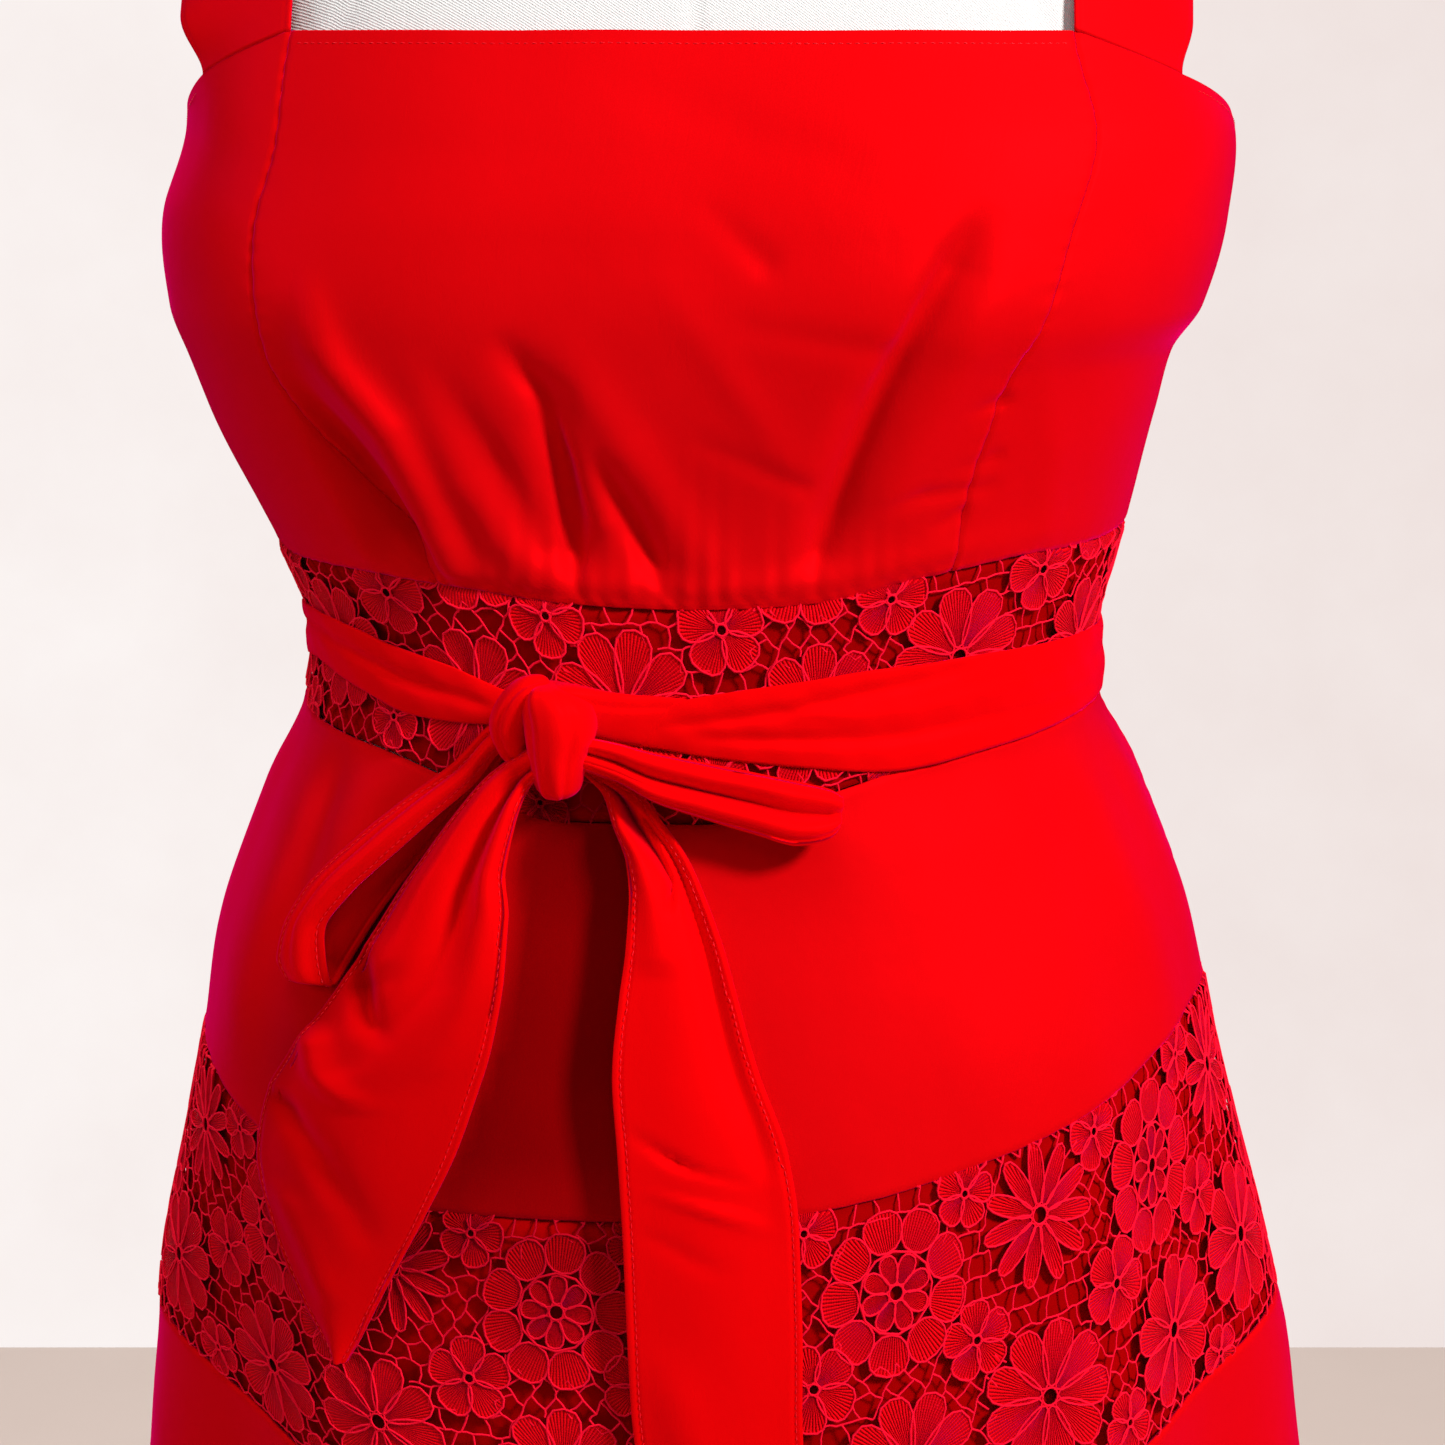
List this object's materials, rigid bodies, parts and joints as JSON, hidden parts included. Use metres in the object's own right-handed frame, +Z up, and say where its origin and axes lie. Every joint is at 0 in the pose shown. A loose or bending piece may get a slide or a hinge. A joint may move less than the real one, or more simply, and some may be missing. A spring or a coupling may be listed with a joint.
{
  "type": "midi dress on a dress form",
  "caption": "Sleeveless midi dress with broad straps, two lace bands and a tied sash, worn by a limbless dress form on a round stand.",
  "frame": {"origin": "centre of the stand's underside, on the floor", "axes": "+Z up, the dress faces -Y, +X is on the right of a viewer who faces the dress"},
  "size_m": [0.6148, 0.5263, 1.5143],
  "materials": {
    "red_sateen": "cotton sateen with a soft sheen",
    "red_lace": "corded cotton lace",
    "red_lining": "plain thin lining",
    "canvas": "off-white canvas",
    "painted_steel": "satin white paint"
  },
  "bodies": {
    "root": {"form_torso": "canvas", "form_neck_cap": "painted_steel", "stand_pole": "painted_steel", "stand_base": "painted_steel", "stand_hub": "painted_steel", "bodice_front": "red_sateen", "bodice_side_left": "red_sateen", "bodice_side_right": "red_sateen", "bodice_back_left": "red_sateen", "bodice_back_right": "red_sateen", "strap_left": "red_sateen", "strap_right": "red_sateen", "waist_lace_front": "red_lace", "waist_lace_back": "red_lace", "waist_lining": "red_lining", "yoke_front": "red_sateen", "yoke_back": "red_sateen", "skirt_lace_front": "red_lace", "skirt_lace_back": "red_lace", "skirt_lining": "red_lining", "lower_skirt_front": "red_sateen", "lower_skirt_back": "red_sateen", "sash_band": "red_sateen", "sash_knot": "red_sateen", "sash_loop_left": "red_sateen", "sash_loop_right": "red_sateen", "sash_tail_left": "red_sateen", "sash_tail_right": "red_sateen"}
  },
  "joints": []
}
